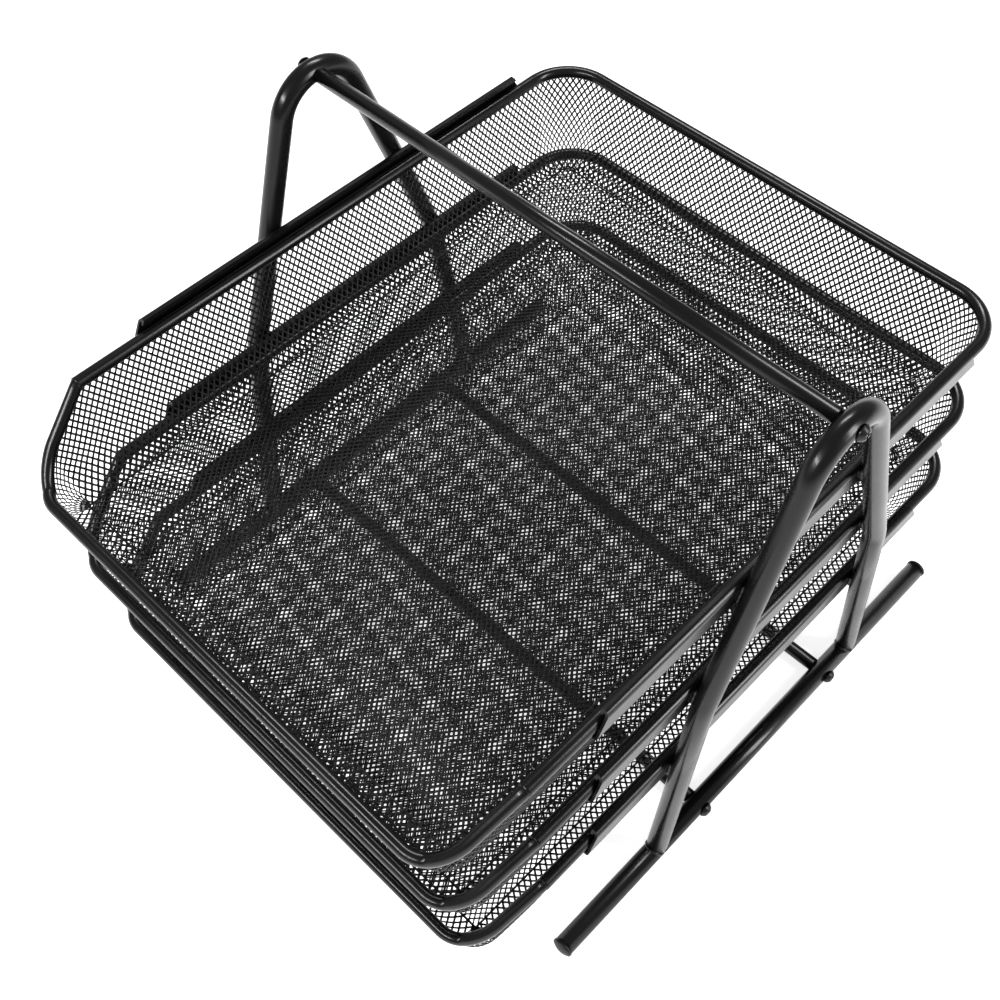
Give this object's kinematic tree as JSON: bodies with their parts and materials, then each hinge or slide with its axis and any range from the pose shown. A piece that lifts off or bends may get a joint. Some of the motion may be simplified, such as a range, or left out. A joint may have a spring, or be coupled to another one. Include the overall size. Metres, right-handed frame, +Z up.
{
  "type": "letter tray",
  "caption": "Mesh letter tray: sloped-front wire-mesh baskets slide in side rails welded to a bent-tube stand with a handle bar across the top.",
  "frame": {"origin": "on the surface it stands on, below the centre of the bounding box", "axes": "+X to the right as seen from the open front, +Y to the back, +Z up; the trays slide out along -Y"},
  "size_m": [0.3052, 0.3652, 0.2696],
  "materials": {
    "black_steel": "gloss black powder coat",
    "black_mesh": "black powder coated expanded mesh",
    "black_plastic": "moulded satin black",
    "black_screw": "black oxide",
    "zinc_insert": "plain zinc plated"
  },
  "bodies": {
    "stand": {"left_side_frame": "black_steel", "right_side_frame": "black_steel", "left_foot_tube": "black_steel", "right_foot_tube": "black_steel", "left_front_foot_plug": "black_plastic", "left_rear_foot_plug": "black_plastic", "right_front_foot_plug": "black_plastic", "right_rear_foot_plug": "black_plastic", "handle_bar": "black_steel", "handle_bar_inserts": "zinc_insert", "handle_bar_screws": "black_screw", "front_bottom_bar": "black_steel", "front_bar_inserts": "zinc_insert", "front_bar_screws": "black_screw", "rear_bottom_bar": "black_steel", "rear_bar_inserts": "zinc_insert", "rear_bar_screws": "black_screw", "left_top_rail": "black_steel", "left_middle_rail": "black_steel", "left_bottom_rail": "black_steel", "right_top_rail": "black_steel", "right_middle_rail": "black_steel", "right_bottom_rail": "black_steel"},
    "top_tray": {"top_tray_basket": "black_mesh", "top_tray_rim": "black_steel"},
    "middle_tray": {"middle_tray_basket": "black_mesh", "middle_tray_rim": "black_steel"},
    "bottom_tray": {"bottom_tray_basket": "black_mesh", "bottom_tray_rim": "black_steel"}
  },
  "joints": [
    {"name": "top_tray_slide", "type": "slide", "parent": "stand", "child": "top_tray", "axis": [0, -1, 0], "range_m": [0, 0.2]},
    {"name": "middle_tray_slide", "type": "slide", "parent": "stand", "child": "middle_tray", "axis": [0, -1, 0], "range_m": [0, 0.2]},
    {"name": "bottom_tray_slide", "type": "slide", "parent": "stand", "child": "bottom_tray", "axis": [0, -1, 0], "range_m": [0, 0.2]}
  ]
}
